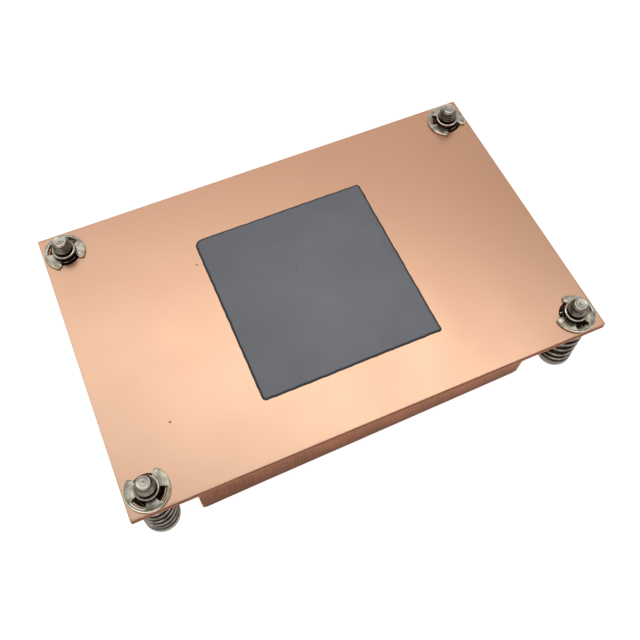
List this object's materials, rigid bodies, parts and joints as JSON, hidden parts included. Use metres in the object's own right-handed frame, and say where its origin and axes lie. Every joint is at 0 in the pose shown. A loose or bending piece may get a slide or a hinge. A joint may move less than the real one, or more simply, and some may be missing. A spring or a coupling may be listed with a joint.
{
  "type": "server processor heat sink",
  "caption": "Passive copper processor heat sink: skived fins behind a flat contact face with a pad of thermal compound and spring-loaded captive screws at the corners.",
  "frame": {"origin": "on the floor under the middle of the plate, at the fins' free edges", "axes": "+X along the plate's long side, +Y across it, +Z from the fins to the contact face, the way the screws point"},
  "size_m": [0.108, 0.07, 0.029],
  "materials": {
    "copper": "satin bare copper",
    "thermal_compound": "dull grey paste",
    "screw_steel": "turned, nickel plated",
    "clip_steel": "stamped, nickel plated",
    "spring_steel": "drawn wire"
  },
  "bodies": {
    "heat_sink_body": {"finned_copper_body": "copper", "thermal_pad": "thermal_compound", "spring_front_left": "spring_steel", "spring_back_left": "spring_steel", "spring_back_right": "spring_steel", "spring_front_right": "spring_steel"},
    "clip_front_left": {"retaining_clip_front_left": "clip_steel"},
    "screw_front_left": {"captive_screw_front_left": "screw_steel"},
    "clip_back_left": {"retaining_clip_back_left": "clip_steel"},
    "screw_back_left": {"captive_screw_back_left": "screw_steel"},
    "clip_back_right": {"retaining_clip_back_right": "clip_steel"},
    "screw_back_right": {"captive_screw_back_right": "screw_steel"},
    "clip_front_right": {"retaining_clip_front_right": "clip_steel"},
    "screw_front_right": {"captive_screw_front_right": "screw_steel"}
  },
  "joints": [
    {"name": "push_front_left", "type": "slide", "parent": "heat_sink_body", "child": "clip_front_left", "axis": [0, 0, 1], "range_m": [0, 0.006], "stiffness_N_per_m": 4200, "springref_m": -0.002, "deforming": ["spring_front_left"]},
    {"name": "turn_front_left", "type": "hinge", "parent": "clip_front_left", "child": "screw_front_left", "pos_m": [-0.049, -0.03035, 0.0244], "axis": [0, 0, 1], "continuous": true},
    {"name": "push_back_left", "type": "slide", "parent": "heat_sink_body", "child": "clip_back_left", "axis": [0, 0, 1], "range_m": [0, 0.006], "stiffness_N_per_m": 4200, "springref_m": -0.002, "deforming": ["spring_back_left"]},
    {"name": "turn_back_left", "type": "hinge", "parent": "clip_back_left", "child": "screw_back_left", "pos_m": [-0.049, 0.02965, 0.0244], "axis": [0, 0, 1], "continuous": true},
    {"name": "push_back_right", "type": "slide", "parent": "heat_sink_body", "child": "clip_back_right", "axis": [0, 0, 1], "range_m": [0, 0.006], "stiffness_N_per_m": 4200, "springref_m": -0.002, "deforming": ["spring_back_right"]},
    {"name": "turn_back_right", "type": "hinge", "parent": "clip_back_right", "child": "screw_back_right", "pos_m": [0.049, 0.02965, 0.0244], "axis": [0, 0, 1], "continuous": true},
    {"name": "push_front_right", "type": "slide", "parent": "heat_sink_body", "child": "clip_front_right", "axis": [0, 0, 1], "range_m": [0, 0.006], "stiffness_N_per_m": 4200, "springref_m": -0.002, "deforming": ["spring_front_right"]},
    {"name": "turn_front_right", "type": "hinge", "parent": "clip_front_right", "child": "screw_front_right", "pos_m": [0.049, -0.03035, 0.0244], "axis": [0, 0, 1], "continuous": true}
  ]
}
